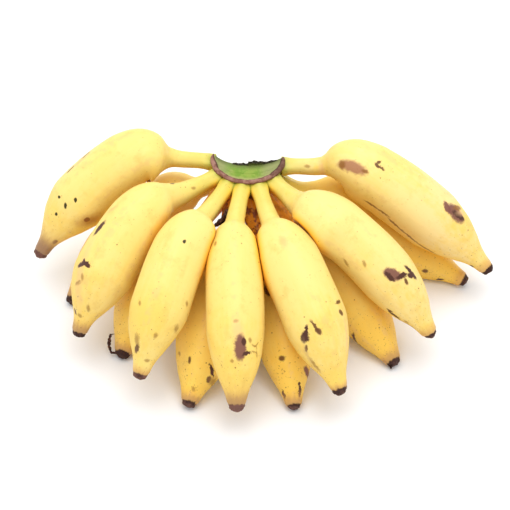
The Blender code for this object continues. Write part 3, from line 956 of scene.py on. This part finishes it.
def scar_rings():
    """The ridge's rings from left to right, with each point's angle round the ridge and place along it."""
    degrees = np.linspace(-SCAR_REACH, SCAR_REACH, SCAR_ROWS)
    around = circle(SCAR_AROUND)
    half = smooth_curve(degrees, SCAR_WIDTHS)[:, None]
    along = np.radians(degrees)[:, None] * SCAR_RADIUS
    roll = np.stack([np.cos(around) * half, np.sin(around) * half, along + 0 * around], -1)
    rough = 1 + lumps(roll, SCAR_LUMPS)
    radius = SCAR_RADIUS + lumps(roll * (0, 0, 1), SCAR_WANDER) + half * rough * np.cos(around)
    down = SCAR_DOWN - half * SCAR_FLATNESS * rough * np.sin(around)
    angle = np.radians(degrees)[:, None]
    rings = crown_place(radius * np.sin(angle), -radius * np.cos(angle), down)
    turn, right = (np.broadcast_to(values, down.shape) for values in (np.degrees(around), degrees[:, None]))
    return rings, roll, turn, right


SCAR_PINK = (0.33, 0.17, 0.13)
SCAR_RED = (0.2, 0.085, 0.06)
# the scar's own dark brown to the right, and the painted shade of the line inside the ridge
SCAR_DARK_AND_SHADE = (0.065, 0.03, 0.018)


def cork():
    """Healed skin: pinkish on top, red-brown outside, painted shade as a dark line inside, dark brown to the
    right.
    """
    finish = Finish("crown_scar")
    place, turn = finish.attribute("straight", "Vector"), finish.attribute("turn")
    right = finish.attribute("right")
    patches = finish.noise(place, 3, 4, 0.6)
    grain = finish.noise(place, 0.7, 3)
    finish.colour = finish.blend(finish.step(0.38, 0.62, patches), SCAR_PINK, SCAR_RED)
    finish.lay(finish.step(30, 5, turn + 30 * (grain - 0.5)) * 0.7, SCAR_RED)
    # painted shade: a dark line along the ridge's inner side, above the dished top
    inner_shade = finish.step(95, 125, turn + 50 * (patches - 0.5)) * finish.step(230, 200, turn)
    finish.lay(inner_shade * 0.8, SCAR_DARK_AND_SHADE)
    finish.lay(finish.step(25, 60, right + 40 * (patches - 0.5)) * 0.6, SCAR_DARK_AND_SHADE)
    finish.set(roughness=0.75, specular_ior_level=0.2,
               normal=finish.bump(grain * 0.5 + patches * 0.5, 0.5))
    return finish.material


surface, straight, turn, right = scar_rings()
scar = skin_object("crown_scar", surface, cork(), straight=straight, turn=turn, right=right)
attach(scar, "root")
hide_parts("crown")

# The dried edge. Where the knife broke through, a torn strip of skin stands up from the back edge of the
# crown's top. It has dried almost black and ends in a step in the middle.
TORN_START, TORN_END = -10.0, 18.5
TORN_ROWS = 260
TORN_AROUND = 16
TORN_THICK = 0.5
TORN_BASE = 1.6
# how far it is set in from the cut, its least half height, and how thin its ends are and over which length
TORN_INSET = 0.3
TORN_LEAST = 0.2
TORN_THIN, TORN_THINNING = 0.4, 1.5
CREST_LUMPS = ((0.25, 2.4, 311), (0.12, 1.0, 312))
THICK_LUMPS = ((0.25, 3.0, 313),)
TORN_LEAN = ((0.3, 5.0, 314),)
# place across the crown, and how far the strip stands above the rim there
TORN_HEIGHTS = ((-10.0, -1.6), (-8.5, -0.6), (-4.0, 0.0), (0.2, 0.1), (0.9, 1.9), (4.0, 2.1), (9.0, 1.5),
                (11, 0.2), (15, 0.1), (18.5, -1.2))


def torn_rings():
    """The strip's rings from left to right, with each point's place on it, and how far below its crest."""
    across = np.linspace(TORN_START, TORN_END, TORN_ROWS)
    around = circle(TORN_AROUND)
    flat = np.stack([across, 0 * across, 0 * across], 1)
    crest = smooth_curve(across, TORN_HEIGHTS) + lumps(flat, CREST_LUMPS)
    ends = np.minimum(fade(TORN_START, TORN_START + TORN_THINNING, across),
                      fade(TORN_END, TORN_END - TORN_THINNING, across))
    thick = TORN_THICK * (TORN_THIN + (1 - TORN_THIN) * ends) * (1 + lumps(flat, THICK_LUMPS))
    lean = lumps(flat, TORN_LEAN)
    middle = (crest - TORN_BASE) / 2
    rise = np.sin(around) * np.maximum((crest + TORN_BASE) / 2, TORN_LEAST)[:, None]
    behind = cut_line(across, CROWN_LEVELS[0][1])[:, None] - TORN_INSET + np.cos(around) * thick[:, None]
    behind = behind + lean[:, None] * np.maximum(rise, 0)
    level = np.broadcast_to(across[:, None], behind.shape)
    height = middle[:, None] + rise
    rings = crown_place(level, behind, -height)
    return rings, np.stack([level, behind, height], -1), crest[:, None] - middle[:, None] - rise


TORN_BLACK = (0.03, 0.028, 0.02)
TORN_GREY = (0.075, 0.065, 0.045)


def torn_skin():
    """Dried skin: nearly black at the crest, olive where it leaves the crown."""
    finish = Finish("crown_dried_edge")
    place, below = finish.attribute("straight", "Vector"), finish.attribute("below")
    patches = finish.noise(place, 1.6, 4, 0.6)
    finish.colour = finish.blend(finish.step(0.4, 0.6, patches), TORN_BLACK, TORN_GREY)
    finish.lay(finish.step(1.4, 2.4, below + 1.4 * (patches - 0.5)), FLESH_OLIVE)
    finish.set(roughness=0.8, specular_ior_level=0.2,
               normal=finish.bump(finish.noise(place, 0.6, 3), 0.4))
    return finish.material


surface, straight, below = torn_rings()
torn = skin_object("crown_dried_edge", surface, torn_skin(), straight=straight, below=below)
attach(torn, "root")
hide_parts("crown")

# The studio: a pale floor, soft light from above and all round, and a camera that looks down at the hand
# from the front.
FLOOR_SIZE = 6.0
PAPER_DIM, PAPER_BRIGHT = (0.85, 0.86, 0.875), (0.87, 0.88, 0.895)
PAPER_GRAIN = 0.02
bpy.ops.mesh.primitive_plane_add(size=FLOOR_SIZE)
floor = bpy.context.object
floor.name = "floor"
paper = Finish("floor_paper")
grain = paper.noise(paper.node("TexCoord", {}, {}, "Object"), PAPER_GRAIN, 2)
paper.colour = paper.blend(grain, PAPER_DIM, PAPER_BRIGHT)
paper.set(roughness=0.9, specular_ior_level=0)
floor.data.materials.append(paper.material)

SKY_WHITE = (1.0, 1.0, 1.0, 1.0)
SKY_STRENGTH = 0.95
world = bpy.data.worlds.new("studio")
world.use_nodes = True
sky = world.node_tree.nodes["Background"].inputs
sky["Color"].default_value, sky["Strength"].default_value = SKY_WHITE, SKY_STRENGTH
bpy.context.scene.world = world

SOFTBOX_SIZE = 1.4
SOFTBOX_HEIGHT = 1.5
SOFTBOX_BACK = 0.15
SOFTBOX_POWER = 16.5
softbox = bpy.data.objects.new("softbox", bpy.data.lights.new("softbox", "AREA"))
softbox.data.shape = "SQUARE"
softbox.data.size = SOFTBOX_SIZE
softbox.data.energy = SOFTBOX_POWER
softbox.location = (0, SOFTBOX_BACK, SOFTBOX_HEIGHT)
bpy.context.scene.collection.objects.link(softbox)

LENS = 105.0
SENSOR = 36.0
CAMERA_RISE = 45.0
CAMERA_DISTANCE = 930.0
AIM = (-5.4, 25.2, 36.0)
camera = bpy.data.objects.new("camera", bpy.data.cameras.new("camera"))
camera.data.lens = LENS
camera.data.sensor_width = SENSOR
rise = math.radians(CAMERA_RISE)
camera.location = (AIM[0] * MM, (AIM[1] - CAMERA_DISTANCE * math.cos(rise)) * MM,
                   (AIM[2] + CAMERA_DISTANCE * math.sin(rise)) * MM)
camera.rotation_euler = (math.pi / 2 - rise, 0, 0)
bpy.context.scene.collection.objects.link(camera)
bpy.context.scene.camera = camera
bpy.context.scene.view_settings.view_transform = "Standard"
